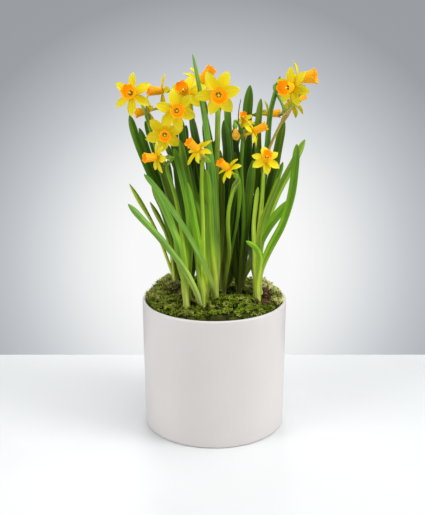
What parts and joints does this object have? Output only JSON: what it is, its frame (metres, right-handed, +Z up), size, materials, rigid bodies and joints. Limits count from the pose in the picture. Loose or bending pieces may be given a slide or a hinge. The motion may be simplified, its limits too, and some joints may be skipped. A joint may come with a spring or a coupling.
{
  "type": "potted dwarf daffodil",
  "caption": "Round white ceramic pot filled with soil, bulbs and moss, from which a tuft of dwarf daffodils with yellow petals and orange cups grows.",
  "frame": {"origin": "centre of the pot's flat underside, on the surface that it stands on", "axes": "+Z up along the pot's axis, -Y towards the front as seen in the picture, +X to the right"},
  "size_m": [0.2008, 0.1682, 0.3884],
  "materials": {
    "pot_glaze": "satin white glaze",
    "soil": "moist crumbly potting compost",
    "moss": "living olive-green moss",
    "bulb_skin": "dry papery brown tunic",
    "leaf": "smooth waxy leaf",
    "petal": "soft matt petal",
    "cup": "soft matt petal with fine ribs",
    "withered": "dry papery petal"
  },
  "bodies": {
    "root": {"pot": "pot_glaze", "soil": "soil", "moss": "moss", "bulb_back": "bulb_skin", "bulb_back_left": "bulb_skin", "bulb_centre": "bulb_skin", "bulb_front": "bulb_skin", "bulb_front_left": "bulb_skin", "bulb_left": "bulb_skin", "bulb_middle": "bulb_skin", "bulb_right": "bulb_skin", "bulb_right_back": "bulb_skin", "bulb_right_of_centre": "bulb_skin", "shoot_back": "leaf", "shoot_back_left": "leaf", "shoot_centre": "leaf", "shoot_front": "leaf", "shoot_front_left": "leaf", "shoot_left": "leaf", "shoot_middle": "leaf", "shoot_right": "leaf", "shoot_right_back": "leaf", "shoot_right_of_centre": "leaf", "bloom_01_petals": "petal", "bloom_02_petals": "petal", "bloom_03_petals": "petal", "bloom_04_petals": "petal", "bloom_05_petals": "petal", "bloom_06_petals": "petal", "bloom_07_petals": "petal", "bloom_08_petals": "petal", "bloom_09_petals": "petal", "bloom_10_petals": "petal", "bloom_11_petals": "petal", "bloom_12_petals": "petal", "bloom_13_petals": "petal", "bloom_14_petals": "petal", "bloom_15_petals": "petal", "bloom_16_petals": "petal", "bloom_17_petals": "petal", "bloom_18_petals": "petal", "bloom_01_cup": "cup", "bloom_02_cup": "cup", "bloom_03_cup": "cup", "bloom_04_cup": "cup", "bloom_05_cup": "cup", "bloom_06_cup": "cup", "bloom_07_cup": "cup", "bloom_08_cup": "cup", "bloom_09_cup": "cup", "bloom_10_cup": "cup", "bloom_11_cup": "cup", "bloom_12_cup": "cup", "bloom_13_cup": "cup", "bloom_14_cup": "cup", "bloom_15_cup": "cup", "bloom_16_cup": "cup", "bloom_17_cup": "cup", "bloom_18_cup": "cup", "bloom_spent": "withered"}
  },
  "joints": []
}
